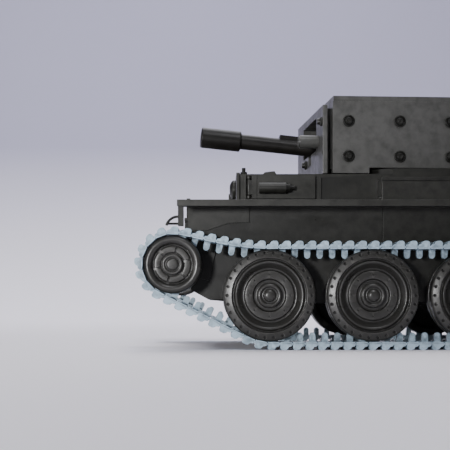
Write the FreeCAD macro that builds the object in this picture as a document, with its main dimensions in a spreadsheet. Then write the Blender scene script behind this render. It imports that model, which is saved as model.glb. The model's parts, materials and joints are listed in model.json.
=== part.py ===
import FreeCAD, Part
import math
import os
import Sketcher

# Kit model of a 1940s cruiser tank at 1:35.  Millimetres.  The front of the tank is towards -X,
# its left side towards -Y, up is +Z.  The ground is z = 0 and the origin is under the middle.

V = FreeCAD.Vector
Y_AXIS = V(0, 1, 0)
Z_AXIS = V(0, 0, 1)
LEFT = -1
RIGHT = 1

# alias: (size, what it is)
SIZES = {
    # running gear
    "wheel_mid_x": (-2.5, "middle road wheel, along the hull"),
    "wheel_pitch": (26.66, "spacing of the road wheels"),
    "axle_z": (14.0, "height of the road wheel axles"),
    "wheel_rad": (11.85, "road wheel radius"),
    "wheel_y": (36.4, "middle of a wheel and of the track, from the hull's middle"),
    "idler_x": (-80.8, "idler axle"),
    "drive_x": (76.3, "sprocket axle"),
    "end_z": (22.0, "height of the idler and sprocket axles"),
    "idler_rad": (7.5, "idler radius"),
    "axle_rad": (1.2, "radius of every axle stub"),
    "bore_rad": (1.28, "radius of every wheel bore"),
    "axle_end": (40.0, "outer end of every axle stub, from the hull's middle"),
    "arm_out": (31.2, "outer face of the suspension arms"),
    # track
    "link_pitch": (3.25, "aim for the track pitch"),
    "link_thick": (2.05, "track plate and grouser"),
    "link_gap": (0.3, "gap between two track plates"),
    "link_wide": (10.2, "track width"),
    "pin_depth": (0.5, "track pins, under the running face"),
    "pin_rad": (0.26, "track pin radius"),
    "pin_seat": (0.31, "radius of the groove for a track pin"),
    "end_turn_rad": (8.33, "radius of the track pins round the idler and the sprocket"),
    "wheel_gap": (0.1, "track to road wheel"),
    "horn_high": (2.35, "guide horn"),
    "horn_wide": (1.6, "guide horn, across the track"),
    "window_y": (2.6, "sprocket window, from the middle of the track"),
    "window_wide": (1.25, "sprocket window, across the track"),
    "window_long": (1.5, "sprocket window, along the track"),
    "tooth_count": (16, "teeth on each sprocket ring"),
    "tooth_root": (7.2, "sprocket ring radius between the teeth"),
    "tooth_tip": (8.95, "sprocket ring radius over the teeth"),
    "ring_thick": (0.8, "sprocket ring"),
    # hull
    "hull_half": (28.5, "half width of the inner hull and of the fighting compartment"),
    "armour_half": (30.5, "half width over the side armour"),
    "wall": (1.4, "hull wall"),
    "belly_z": (12.0, "underside of the hull"),
    "deck_z": (37.6, "top of the hull side and underside of the track guards"),
    "nose_x": (-77.4, "front of the nose"),
    "tail_x": (84.0, "rear of the hull side"),
    "guard_top": (38.6, "top of the track guards"),
    "guard_lip": (36.9, "lower edge of the track guard lip"),
    "guard_half": (41.5, "half width over the track guards"),
    "guard_front": (-79.6, "front of the track guards"),
    "guard_rear": (87.0, "rear of the track guards"),
    "flap_z": (32.3, "lower edge of the guard's front flap"),
    "front_x": (-63.8, "front plate of the fighting compartment"),
    "roof_z": (46.4, "roof of the fighting compartment"),
    "engine_x": (27.0, "front of the engine deck"),
    "engine_z": (43.4, "top of the engine deck"),
    "box_x": (-26.6, "front of the stowage boxes"),
    "box_long": (34.0, "stowage boxes, along the hull"),
    "box_half": (38.0, "half width over the stowage boxes"),
    "box_z": (44.7, "top of the stowage boxes"),
    # turret, from its own middle
    "turret_x": (-6.0, "middle of the turret ring"),
    "turret_turn": (4.4, "turret traverse in the rest pose, degrees"),
    "ring_rad": (21.92, "turret ring spigot"),
    "ring_bore": (22.0, "hole in the roof for the turret ring"),
    "ring_top": (47.9, "top of the raised roof round the ring"),
    "ring_plinth": (33.0, "radius of the raised roof round the ring"),
    "skirt_z": (46.75, "lower edge of the turret's front armour"),
    "side_z": (48.2, "lower edge of the turret's side armour"),
    "turret_top": (66.0, "top of the turret's side armour"),
    "turret_roof": (67.4, "top of the turret roof"),
    "turret_nose": (-37.0, "front of the turret's front plate"),
    "face_thick": (1.2, "rim of the turret's front plate"),
    "face_top": (65.1, "top of the turret's front plate"),
    "turret_front": (-34.5, "back of the turret's front plate"),
    "turret_back": (24.0, "rear end of the turret's side armour"),
    "turret_half": (25.5, "half width of the turret"),
    "plate": (2.6, "turret side armour"),
    "skirt_x": (-24.6, "rear end of the low front part of the side armour"),
    "bolt_rad": (1.6, "radius of the armour bolts"),
    "bolt_first": (-30.3, "first armour bolt, along the turret"),
    "bolt_step": (13.85, "spacing of the armour bolts"),
    "bolt_low": (51.25, "lower row of armour bolts"),
    "bolt_high": (60.65, "upper row of armour bolts"),
    # gun, from its trunnions
    "trunnion_x": (-28.0, "trunnions, from the turret's middle"),
    "trunnion_z": (55.2, "height of the trunnions"),
    "gun_raise": (5.6, "gun elevation in the rest pose, degrees"),
    "mantlet_rad": (5.2, "mantlet radius"),
    "mantlet_half": (12.1, "mantlet half width"),
    "port_half": (12.5, "half width of the opening for the mantlet"),
    "port_up": (7.9, "opening for the mantlet, above the trunnions"),
    "port_sill": (1.0, "opening for the mantlet, below the trunnions"),
    "slot_half": (2.5, "half width of the slot that lets the gun barrel down"),
    "port_down": (3.9, "foot of the barrel's slot, below the trunnions"),
    "housing_y": (-15.0, "machine gun housing, across the turret"),
    "housing_z": (56.3, "height of the machine gun housing"),
    "housing_rad": (1.78, "machine gun housing radius"),
    "barrel_rad": (2.15, "gun barrel radius"),
    "muzzle": (40.4, "muzzle, from the trunnions"),
    "weight_long": (11.4, "muzzle counterweight, along the gun"),
    "weight_rad": (2.9, "muzzle counterweight radius"),
    "bore_gun": (1.1, "gun bore radius"),
    # hatches and doors
    "door_x": (-60.4, "front edge of the side doors"),
    "door_long": (17.1, "side doors, along the hull"),
    "door_low": (39.8, "lower edge of the side doors"),
    "door_high": (45.9, "upper edge of the side doors"),
    "door_gap": (0.3, "side doors to the hull side"),
    "door_thick": (0.9, "side doors"),
    "cupola_x": (9.0, "cupola, along the turret"),
    "cupola_y": (-11.5, "cupola, across the turret"),
    "cupola_rad": (8.0, "cupola radius"),
    "cupola_z": (69.6, "top of the cupola ring"),
    "hatch_thick": (0.9, "turret hatches"),
    "hatch_gap": (0.15, "hatch to its seat"),
    "hinge_up": (0.5, "hinge axis, from the face that its lugs stand on"),
    "hinge_lug": (0.55, "radius of the hinge lugs"),
    "hinge_knuckle": (0.4, "radius of the hinge knuckles"),
    "hinge_pin": (0.25, "radius of the hinge pins"),
    "hinge_bore": (0.32, "radius of the hinge bores"),
}

doc = FreeCAD.newDocument("CruiserTank")
sheet = doc.addObject("Spreadsheet::Sheet", "Dims")
for row, (alias, (size, note)) in enumerate(SIZES.items(), 1):
    sheet.set(f"A{row}", alias)
    sheet.set(f"B{row}", str(size))
    sheet.setAlias(f"B{row}", alias)
    sheet.set(f"C{row}", note)
doc.recompute()

nodes = []


def size(alias):
    """A size from the sheet, as a number."""
    return float(sheet.get(alias))


def dims(text):
    """An expression in which every word that is a size's alias points at the sheet."""
    out, word = "", ""
    for letter in text + " ":
        if letter.isalnum() or letter == "_":
            word += letter
            continue
        out += ("Dims." + word if word in SIZES else word) + letter
        word = ""
    return out.strip()


def origin_part(body, role):
    """One of the planes or axes of a body's own origin."""
    return next(f for f in body.Origin.OriginFeatures if f.Role == role)


def new_body(label):
    body = doc.addObject("PartDesign::Body", "Body_" + label)
    body.Label = label
    return body


def sketch_on(body, role, offset="0"):
    """A sketch on one of the body's origin planes, moved along the plane's normal."""
    sketch = body.newObject("Sketcher::SketchObject", "Sketch")
    sketch.AttachmentSupport = [(origin_part(body, role), "")]
    sketch.MapMode = "FlatFace"
    sketch.setExpression("AttachmentOffset.Base.z", dims(offset))
    return sketch


def hold_point(sketch, curve, vertex, across, up):
    """Two constraints that hold a point at expressions measured from the sketch's origin."""
    for kind, where in (("DistanceX", across), ("DistanceY", up)):
        index = sketch.addConstraint(Sketcher.Constraint(kind, -1, 1, curve, vertex, 1.0))
        sketch.setExpression(f"Constraints[{index}]", dims(where))


def outline(sketch, corners):
    """A closed polygon.  Its corners start on a circle, so that no side has no length, and
    the constraints then put each one in its place."""
    count = len(corners)
    first = sketch.GeometryCount
    turn = [2 * math.pi * n / count for n in range(count)]
    start = [V(10 * math.cos(a), 10 * math.sin(a), 0) for a in turn]
    for n in range(count):
        sketch.addGeometry(Part.LineSegment(start[n], start[(n + 1) % count]), False)
    for n in range(count):
        after = first + (n + 1) % count
        sketch.addConstraint(Sketcher.Constraint("Coincident", first + n, 2, after, 1))
    for n, (across, up) in enumerate(corners):
        hold_point(sketch, first + n, 1, across, up)


def circle(sketch, across, up, radius):
    curve = sketch.addGeometry(Part.Circle(V(1, 1, 0), Z_AXIS, 2.0), False)
    hold_point(sketch, curve, 3, across, up)
    index = sketch.addConstraint(Sketcher.Constraint("Radius", curve, 2.0))
    sketch.setExpression(f"Constraints[{index}]", dims(radius))


def block(low_x, high_x, low_z, high_z):
    """The corners of a rectangle."""
    return [(low_x, low_z), (high_x, low_z), (high_x, high_z), (low_x, high_z)]


def extrude(body, kind, sketch, length, middle=False, back=False):
    """A pad or a pocket.  Both run along the sketch's normal unless back is set."""
    feature = body.newObject("PartDesign::" + kind, kind)
    feature.Profile = sketch
    feature.setExpression("Length", dims(length))
    if middle:
        feature.SideType = "Symmetric"
    feature.Reversed = back != (kind == "Pocket")
    return feature


def side_slab(body, kind, side, near, far, corners):
    """A pad or pocket of an X-Z outline between two distances from the hull's middle."""
    offset = near if side == LEFT else f"-({far})"
    sketch = sketch_on(body, "XZ_Plane", offset)
    outline(sketch, corners)
    return extrude(body, kind, sketch, f"({far}) - ({near})")


def wide_slab(body, kind, width, corners):
    """A pad or pocket of an X-Z outline, the same width on both sides of the middle."""
    sketch = sketch_on(body, "XZ_Plane")
    outline(sketch, corners)
    return extrude(body, kind, sketch, width, middle=True)


def level_slab(body, kind, low, high, corners):
    """A pad or pocket of an X-Y outline between two heights."""
    sketch = sketch_on(body, "XY_Plane", low)
    outline(sketch, corners)
    return extrude(body, kind, sketch, f"({high}) - ({low})")


def level_disc(body, kind, low, high, x, y, radius):
    """A pad or pocket of a circle between two heights."""
    sketch = sketch_on(body, "XY_Plane", low)
    circle(sketch, x, y, radius)
    return extrude(body, kind, sketch, f"({high}) - ({low})")


def long_disc(body, kind, low, high, y, z, radius):
    """A pad or pocket of a circle between two stations along the hull."""
    sketch = sketch_on(body, "YZ_Plane", low)
    circle(sketch, y, z, radius)
    return extrude(body, kind, sketch, f"({high}) - ({low})")


def wide_disc(body, kind, width, x, z, radius):
    """A pad or pocket of a circle, the same width on both sides of the middle."""
    sketch = sketch_on(body, "XZ_Plane")
    circle(sketch, x, z, radius)
    return extrude(body, kind, sketch, width, middle=True)


def hinge(fixed, moving, disc, start, span, first, second):
    """Two lugs on one body and, between them, a knuckle with a pin on the other.  The disc
    function sets which way the hinge runs, and first and second where it is."""
    end = f"{start} + {span}"
    disc(fixed, "Pad", start, start + " + 0.8", first, second, "hinge_lug")
    disc(fixed, "Pad", end + " - 0.8", end, first, second, "hinge_lug")
    disc(fixed, "Pocket", start + " + 0.2", end + " - 0.2", first, second, "hinge_bore")
    disc(moving, "Pad", start + " + 1", end + " - 1", first, second, "hinge_knuckle")
    disc(moving, "Pad", start + " + 0.3", end + " - 0.3", first, second, "hinge_pin")


def side_disc(body, kind, side, near, far, x, z, radius):
    """A pad or pocket of a circle between two distances from the hull's middle."""
    sketch = sketch_on(body, "XZ_Plane", near if side == LEFT else f"-({far})")
    circle(sketch, x, z, radius)
    return extrude(body, kind, sketch, f"({far}) - ({near})")


def turned(body, corners, axis="Y_Axis"):
    """A solid turned about the body's X or Y axis, from an outline in its X-Y plane."""
    sketch = sketch_on(body, "XY_Plane")
    outline(sketch, corners)
    feature = body.newObject("PartDesign::Revolution", "Turned")
    feature.Profile = sketch
    feature.ReferenceAxis = (origin_part(body, axis), [""])
    feature.Angle = 360
    return feature


def ring_of(body, feature, count):
    """A feature repeated round the body's Y axis."""
    pattern = body.newObject("PartDesign::PolarPattern", "Ring")
    pattern.Originals = [feature]
    pattern.Axis = (origin_part(body, "Y_Axis"), [""])
    pattern.Angle = 360
    pattern.setExpression("Occurrences", dims(count))
    body.Tip = pattern
    return pattern


def row_of(body, feature, role, length, count):
    """A feature repeated in a row along one of the body's axes."""
    pattern = body.newObject("PartDesign::LinearPattern", "Row")
    pattern.Originals = [feature]
    pattern.Direction = (origin_part(body, role), [""])
    pattern.setExpression("Length", dims(length))
    pattern.Occurrences = count
    body.Tip = pattern
    return pattern


def place(thing, x="0", y="0", z="0", axis=Z_AXIS, angle="0"):
    """Put a sub-part in its place, with the sheet's sizes."""
    thing.Placement = FreeCAD.Placement(V(0, 0, 0), FreeCAD.Rotation(axis, 10))
    thing.setExpression("Placement.Base.x", dims(x))
    thing.setExpression("Placement.Base.y", dims(y))
    thing.setExpression("Placement.Base.z", dims(z))
    thing.setExpression("Placement.Rotation.Angle", dims(angle))


def group(label, pieces):
    """One node made of several separate solids."""
    made = doc.addObject("Part::Compound", "Node_" + label)
    made.Label = label
    made.Links = pieces
    return made


def copies(label, shape, placements):
    """One node of identical solids, such as a set of bolts."""
    made = doc.addObject("Part::Feature", "Node_" + label)
    made.Label = label
    made.Shape = Part.makeCompound([shape.transformed(p.Matrix) for p in placements])
    return made


def keep(thing):
    """Mark an object as a node of the finished part."""
    nodes.append(thing)
    return thing


def both(text, side):
    """An expression's sign for the left or the right side."""
    return f"-({text})" if side == LEFT else f"({text})"


# Hull --------------------------------------------------------------------------------------

tub = keep(new_body("hull_tub"))
wide_slab(tub, "Pad", "2 * hull_half", [
    ("nose_x + 5.8", "belly_z + 1"),
    ("nose_x + 1.2", "belly_z + 3.5"),
    ("nose_x", "belly_z + 12"),
    ("nose_x", "deck_z - 6.6"),
    ("front_x", "deck_z"),
    ("tail_x - 2", "deck_z"),
    ("tail_x - 1", "deck_z - 8"),
    ("tail_x - 5", "belly_z + 3.5"),
    ("tail_x - 11", "belly_z"),
    ("nose_x + 17", "belly_z"),
])
wide_slab(tub, "Pocket", "2 * (hull_half - wall)", [
    ("nose_x + 7.4", "belly_z + wall + 1"),
    ("nose_x + 2.9", "belly_z + wall + 3.4"),
    ("nose_x + wall", "belly_z + 12.2"),
    ("nose_x + wall", "deck_z - 7.9"),
    ("front_x + 2", "deck_z - 1.4"),
    ("front_x + 2", "deck_z + 1"),
    ("tail_x - 4", "deck_z + 1"),
    ("tail_x - 2.6", "deck_z - 8"),
    ("tail_x - 6.5", "belly_z + 4"),
    ("tail_x - 12", "belly_z + wall"),
    ("nose_x + 17", "belly_z + wall"),
])

glacis = keep(new_body("glacis_plate"))
wide_slab(glacis, "Pad", "2 * hull_half - 3", [
    ("nose_x - 0.9", "belly_z + 12.2"),
    ("nose_x", "belly_z + 12.2"),
    ("nose_x", "deck_z - 6.6"),
    ("front_x - 1.2", "deck_z - 0.582"),
    ("front_x - 1.2", "deck_z + 0.5"),
    ("nose_x - 0.9", "deck_z - 6.1"),
])

for side, name in ((LEFT, "left"), (RIGHT, "right")):
    armour = keep(new_body("side_armour_" + name))
    side_slab(armour, "Pad", side, "hull_half", "armour_half", [
        ("nose_x", "deck_z"),
        ("nose_x", "belly_z + 12"),
        ("nose_x + 1.2", "belly_z + 3.5"),
        ("nose_x + 5.8", "belly_z + 1"),
        ("nose_x + 15", "belly_z + 1"),
        ("nose_x + 17", "belly_z + 0.4"),
        ("tail_x - 11", "belly_z + 0.4"),
        ("tail_x - 5", "belly_z + 3.5"),
        ("tail_x - 1", "deck_z - 8"),
        ("tail_x - 2", "deck_z"),
    ])
    side_slab(armour, "Pad", side, "armour_half", "armour_half + 0.4", [
        ("nose_x", "deck_z"),
        ("nose_x", "deck_z - 6.3"),
        ("nose_x + 5.6", "deck_z - 6.3"),
        ("nose_x + 11.2", "deck_z - 4.4"),
        ("nose_x + 16.6", "deck_z - 4.2"),
        ("nose_x + 16.6", "deck_z"),
    ])
    for seam in ("nose_x + 51.8", "nose_x + 104"):
        side_slab(armour, "Pocket", side, "armour_half - 0.3", "armour_half + 1",
                  block(seam, seam + " + 0.2", "belly_z - 1", "deck_z + 1"))

    guard = keep(new_body("track_guard_" + name))
    side_slab(guard, "Pad", side, "hull_half", "guard_half",
              block("guard_front", "guard_rear", "deck_z", "guard_top"))
    side_slab(guard, "Pad", side, "guard_half - 0.8", "guard_half",
              block("guard_front", "guard_rear", "guard_lip", "deck_z + 0.5"))
    side_slab(guard, "Pad", side, "armour_half + 1", "armour_half + 3",
              block("guard_front", "guard_front + 1.5", "flap_z", "deck_z + 0.5"))
    side_slab(guard, "Pad", side, "armour_half + 1", "guard_half",
              block("guard_rear - 1.2", "guard_rear", "flap_z - 4", "deck_z + 0.5"))
    side_slab(guard, "Pad", side, "guard_half - 1.4", "guard_half - 0.4",
              block("guard_front + 2.5", "guard_front + 3.4", "guard_top - 0.2", "guard_top + 0.3"))

# Fighting compartment: a roof and side walls round an open middle, with a hole for the turret.
fort = keep(new_body("fighting_compartment"))
wide_slab(fort, "Pad", "2 * hull_half",
          block("front_x + 0.6", "engine_x", "deck_z", "roof_z"))
level_disc(fort, "Pad", "roof_z - 0.5", "ring_top", "turret_x", "0", "ring_plinth")
for side in (LEFT, RIGHT):
    side_slab(fort, "Pocket", side, "hull_half", "hull_half + 6",
              block("turret_x - 20", "turret_x + 20", "roof_z - 1", "ring_top + 1"))
wide_slab(fort, "Pocket", "2 * (hull_half - wall)",
          block("front_x + 2", "engine_x - wall", "deck_z - 1", "roof_z - wall"))
level_disc(fort, "Pocket", "deck_z", "ring_top + 1", "turret_x", "0", "ring_bore")

front = keep(new_body("front_plate"))
wide_slab(front, "Pad", "2 * hull_half + 1.2",
          block("front_x - 0.4", "front_x + 0.6", "guard_top", "roof_z + 0.4"))
for side in (LEFT, RIGHT):
    side_slab(front, "Pad", side, "hull_half", "hull_half + 0.6",
              block("front_x + 0.5", "front_x + 1.6", "guard_top", "guard_top + 1"))

visor = keep(new_body("driver_visor"))
side_slab(visor, "Pad", RIGHT, "6", "17",
          block("front_x - 1.4", "front_x - 0.4", "roof_z - 6", "roof_z - 0.6"))
side_slab(visor, "Pad", RIGHT, "8", "15",
          block("front_x - 2.2", "front_x - 1.3", "roof_z - 4.4", "roof_z - 2.2"))
side_slab(visor, "Pocket", RIGHT, "9", "14",
          block("front_x - 3", "front_x - 1.7", "roof_z - 3.6", "roof_z - 3.1"))

# The ball mount is turned about its own axis, which points out of the front plate.
ball = keep(new_body("ball_mount"))
turned(ball, [("0", "0"), ("2.7", "0"), ("2.7", "0.8"), ("2.3", "1.2"), ("1.5", "1.6"),
              ("0.7", "1.7"), ("0.7", "1.1"), ("0", "1.1")])
place(ball, "front_x - 0.4", "-14", "roof_z - 3", Z_AXIS, "90")

for side, name in ((LEFT, "left"), (RIGHT, "right")):
    box = keep(new_body("stowage_box_" + name))
    side_slab(box, "Pad", side, "hull_half", "box_half",
              block("box_x", "box_x + box_long", "guard_top", "box_z"))
    side_slab(box, "Pocket", side, "hull_half + 0.8", "box_half - 0.8",
              block("box_x + 0.8", "box_x + box_long - 0.8", "guard_top - 1", "box_z - 1.3"))
    side_slab(box, "Pocket", side, "box_half - 0.25", "box_half + 1",
              block("box_x - 1", "box_x + box_long + 1", "box_z - 1.1", "box_z - 0.9"))
    side_slab(box, "Pad", side, "box_half - 2.6", "box_half - 0.3",
              block("box_x - 0.8", "box_x + 0.2", "guard_top", "guard_top + 0.9"))

engine = keep(new_body("engine_deck"))
wide_slab(engine, "Pad", "2 * hull_half", [
    ("engine_x", "deck_z"),
    ("tail_x - 2", "deck_z"),
    ("tail_x - 2", "engine_z - 2.2"),
    ("tail_x - 9", "engine_z"),
    ("engine_x", "engine_z"),
])
wide_slab(engine, "Pocket", "2 * (hull_half - wall)",
          block("engine_x + wall", "tail_x - 10", "deck_z - 1", "engine_z - wall"))
for side in (LEFT, RIGHT):
    slat = side_slab(engine, "Pocket", side, "3", "24",
                     block("engine_x + 24", "engine_x + 25.1", "engine_z - 0.7", "engine_z + 1"))
    row_of(engine, slat, "X_Axis", "20", 10)

covers = keep(new_body("engine_covers"))
level_slab(covers, "Pad", "engine_z", "engine_z + 0.7",
           [("engine_x + 2", "-22"), ("engine_x + 21", "-22"), ("engine_x + 21", "22"),
            ("engine_x + 2", "22")])
level_slab(covers, "Pocket", "engine_z + 0.4", "engine_z + 1.5",
           [("engine_x", "-0.2"), ("engine_x + 22", "-0.2"), ("engine_x + 22", "0.2"),
            ("engine_x", "0.2")])
for side in (LEFT, RIGHT):
    side_slab(covers, "Pad", side, "6", "12",
              block("engine_x + 10", "engine_x + 10.8", "engine_z + 0.6", "engine_z + 1.3"))

tail = keep(new_body("rear_plate"))
wide_slab(tail, "Pad", "2 * hull_half", [
    ("tail_x - 2", "deck_z"),
    ("tail_x - 1", "deck_z - 8"),
    ("tail_x - 5", "belly_z + 3.5"),
    ("tail_x - 3.6", "belly_z + 3.3"),
    ("tail_x + 0.6", "deck_z - 8"),
    ("tail_x - 0.2", "engine_z - 2.4"),
    ("tail_x - 2", "engine_z - 2.2"),
])

outlet = keep(new_body("air_outlet"))
wide_slab(outlet, "Pad", "40", [
    ("tail_x + 0.15", "deck_z - 1.5"),
    ("tail_x + 6.5", "deck_z - 4.5"),
    ("tail_x + 6.5", "deck_z - 1"),
    ("tail_x + 3.5", "engine_z - 1.2"),
    ("tail_x - 0.19", "engine_z - 2.4"),
])
wide_slab(outlet, "Pocket", "36", [
    ("tail_x + 1.6", "deck_z - 5.5"),
    ("tail_x + 5.3", "deck_z - 5.5"),
    ("tail_x + 5.3", "deck_z - 2"),
    ("tail_x + 1.6", "deck_z - 2"),
])

# A bent rod stands out of the front flap of each track guard: a bow, and a straight rod that
# runs back under it.
HOOK_RAD = 3.15
HOOK_ROD = 0.35
loops = []
for side in (LEFT, RIGHT):
    bow = doc.addObject("Part::Torus", "Bow")
    bow.Radius1 = HOOK_RAD
    bow.Radius2 = HOOK_ROD
    bow.Angle3 = 75
    lean = FreeCAD.Rotation(Y_AXIS, -90) * FreeCAD.Rotation(V(1, 0, 0), 90)
    bow.Placement = FreeCAD.Placement(V(0, 0, 0), lean)
    rod = doc.addObject("Part::Cylinder", "Rod")
    rod.Radius = HOOK_ROD - 0.05
    rod.Height = HOOK_RAD - 0.25
    rod.Placement = FreeCAD.Placement(V(0, 0, 0), FreeCAD.Rotation(Y_AXIS, -90))
    for piece, height in ((bow, "flap_z - 0.65"), (rod, "flap_z + 0.65")):
        piece.setExpression("Placement.Base.x", dims("guard_front"))
        piece.setExpression("Placement.Base.y", dims(both("armour_half + 2", side)))
        piece.setExpression("Placement.Base.z", dims(height))
    hook = doc.addObject("Part::MultiFuse", "Hook")
    hook.Shapes = [bow, rod]
    loops.append(hook)
keep(group("nose_loops", loops))

# Running gear ------------------------------------------------------------------------------

WHEELS = range(-2, 3)


def wheel_x(step):
    return f"wheel_mid_x + {step} * wheel_pitch"


def stub(body, side, x, z):
    """An axle stub that stands out of the hull."""
    side_disc(body, "Pad", side, "armour_half", "axle_end", x, z, "axle_rad")


for side, name in ((LEFT, "left"), (RIGHT, "right")):
    arms = []
    for step in WHEELS:
        x = wheel_x(step)
        arm = new_body(f"arm_{name}_{step + 3}")
        side_slab(arm, "Pad", side, "armour_half", "arm_out", [
            (x + " - 1.8", "axle_z - 1.4"),
            (x + " + 1.2", "axle_z - 2.2"),
            (x + " + 10.4", "axle_z + 5.4"),
            (x + " + 10.2", "axle_z + 8"),
            (x + " + 8.2", "axle_z + 8.8"),
            (x + " - 1.6", "axle_z + 1.8"),
        ])
        stub(arm, side, x, "axle_z")
        arms.append(arm)
    keep(group("suspension_arms_" + name, arms))

idler_mounts = []
final_drives = []
for side, name in ((LEFT, "left"), (RIGHT, "right")):
    mount = new_body("idler_mount_" + name)
    side_slab(mount, "Pad", side, "armour_half", "arm_out", [
        ("idler_x - 1.8", "end_z + 1.2"),
        ("idler_x - 0.6", "end_z - 2"),
        ("idler_x + 9.5", "end_z - 4"),
        ("idler_x + 11", "end_z + 3.5"),
        ("idler_x + 0.6", "end_z + 2.2"),
    ])
    stub(mount, side, "idler_x", "end_z")
    idler_mounts.append(mount)
    drive = new_body("final_drive_" + name)
    side_disc(drive, "Pad", side, "armour_half", "arm_out", "drive_x", "end_z", "6")
    stub(drive, side, "drive_x", "end_z")
    final_drives.append(drive)
keep(group("idler_mounts", idler_mounts))
keep(group("final_drives", final_drives))

# Road wheel: two halves.  The outer face looks towards -Y, and y = 0 is between the halves.
outer = new_body("wheel_outer_half")
turned(outer, [
    ("0", "-4.9"), ("0.8", "-4.85"), ("1.4", "-4.6"), ("1.65", "-4.1"), ("2.1", "-4.1"),
    ("2.25", "-4.5"), ("2.7", "-4.6"), ("3.1", "-4.3"), ("3.2", "-3"), ("4.1", "-3"),
    ("4.3", "-3.75"), ("6.3", "-3.75"), ("6.5", "-2.9"), ("7.1", "-2.9"), ("8.3", "-4.4"),
    ("8.7", "-4.5"), ("9.2", "-3.8"), ("9.5", "-3.8"), ("9.65", "-4.85"),
    ("wheel_rad - 0.3", "-4.35"), ("wheel_rad", "-4"),
    ("wheel_rad", "-1.1"), ("9.2", "-1.1"), ("8.6", "-2.1"), ("3.4", "-2.1"), ("3.4", "0"),
    ("bore_rad", "0"), ("bore_rad", "-3.9"), ("0", "-3.9"),
])
hole = side_disc(outer, "Pocket", LEFT, "3.6", "5", "0", "10.9", "0.42")
ring_of(outer, hole, "30")
dimple = side_disc(outer, "Pocket", LEFT, "3.45", "4", "0", "5.4", "0.26")
ring_of(outer, dimple, "8")

inner = new_body("wheel_inner_half")
turned(inner, [
    ("bore_rad", "0"), ("3.4", "0"), ("3.4", "2.1"), ("8.6", "2.1"), ("9.2", "1.1"),
    ("wheel_rad", "1.1"), ("wheel_rad", "4.2"), ("wheel_rad - 0.5", "4.7"), ("9.8", "4.6"),
    ("9.2", "3.9"), ("4.6", "3.4"), ("3.6", "4.4"), ("bore_rad", "4.4"),
])


def at_side(thing, side, x, z, turn="0"):
    """Put a wheel on its axle, with its outer face outwards."""
    flip = FreeCAD.Rotation(Z_AXIS, 0 if side == LEFT else 180)
    spin = FreeCAD.Rotation(Y_AXIS, float(turn))
    thing.Placement = FreeCAD.Placement(V(0, 0, 0), flip * spin)
    thing.setExpression("Placement.Base.x", dims(x))
    thing.setExpression("Placement.Base.y", dims(both("wheel_y", side)))
    thing.setExpression("Placement.Base.z", dims(z))


for side, name in ((LEFT, "left"), (RIGHT, "right")):
    for step in WHEELS:
        wheel = keep(group(f"road_wheel_{name}_{step + 3}", [outer, inner]))
        at_side(wheel, side, wheel_x(step), "axle_z")

# Idler: two halves, with six raised pads between radial grooves on the outer one.
idler_outer = new_body("idler_outer_half")
turned(idler_outer, [
    ("0", "-4.5"), ("1.2", "-4.5"), ("1.5", "-4.3"), ("1.6", "-3.8"), ("1.9", "-3.8"),
    ("2", "-4.15"), ("2.6", "-4.15"), ("2.7", "-2.9"), ("3", "-2.9"), ("3.05", "-3.7"),
    ("4.7", "-3.7"), ("4.85", "-2.9"), ("5.2", "-2.9"), ("5.4", "-4.2"), ("5.9", "-4.6"),
    ("6.5", "-4.7"), ("7.1", "-4.45"), ("idler_rad", "-3.9"),
    ("idler_rad", "-1.1"), ("6.2", "-1.1"), ("5.6", "-2"), ("3.2", "-2"), ("3.2", "0"),
    ("bore_rad", "0"), ("bore_rad", "-3.9"), ("0", "-3.9"),
])
groove = side_slab(idler_outer, "Pocket", LEFT, "2.9", "4", block("2.8", "5", "-0.35", "0.35"))
ring_of(idler_outer, groove, "6")
idler_inner = new_body("idler_inner_half")
turned(idler_inner, [
    ("bore_rad", "0"), ("3.2", "0"), ("3.2", "2"), ("5.6", "2"), ("6.2", "1.1"),
    ("idler_rad", "1.1"), ("idler_rad", "4.1"), ("7", "4.6"), ("5.7", "4.6"), ("5.3", "3.2"),
    ("3.6", "3.2"), ("3.2", "4.4"), ("bore_rad", "4.4"),
])
for side, name in ((LEFT, "left"), (RIGHT, "right")):
    idler = keep(group("idler_" + name, [idler_outer, idler_inner]))
    at_side(idler, side, "idler_x", "end_z", "-15")

# Sprocket: a drum and two toothed rings.
drum = new_body("sprocket_drum")
turned(drum, [
    ("0", "-4.6"), ("1", "-4.5"), ("1.8", "-4.1"), ("1.8", "-3.8"), ("4.9", "-3.6"),
    ("4.9", "-1.6"), ("4.4", "-1.2"), ("4.4", "1.2"), ("4.9", "1.6"), ("4.9", "3.6"),
    ("3", "4.3"), ("bore_rad", "4.3"), ("bore_rad", "-3.8"), ("0", "-3.8"),
])
cap_bolt = side_disc(drum, "Pad", LEFT, "3.6", "4.1", "0", "3.6", "0.35")
ring_of(drum, cap_bolt, "8")


def toothed_ring(label, near):
    ring = new_body(label)
    side_disc(ring, "Pad", LEFT, near, near + " + ring_thick", "0", "0", "tooth_root")
    side_disc(ring, "Pocket", LEFT, near + " - 1", near + " + 2", "0", "0", "4.9")
    tooth = side_slab(ring, "Pad", LEFT, near, near + " + ring_thick", [
        ("tooth_root - 0.3", "-0.6"),
        ("tooth_tip - 0.6", "-0.5"),
        ("tooth_tip", "-0.22"),
        ("tooth_tip", "0.22"),
        ("tooth_tip - 0.6", "0.5"),
        ("tooth_root - 0.3", "0.6"),
    ])
    ring_of(ring, tooth, "tooth_count")
    return ring


toothed = [
    toothed_ring("sprocket_outer_ring", "window_y - ring_thick / 2"),
    toothed_ring("sprocket_inner_ring", "-window_y - ring_thick / 2"),
]

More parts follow.
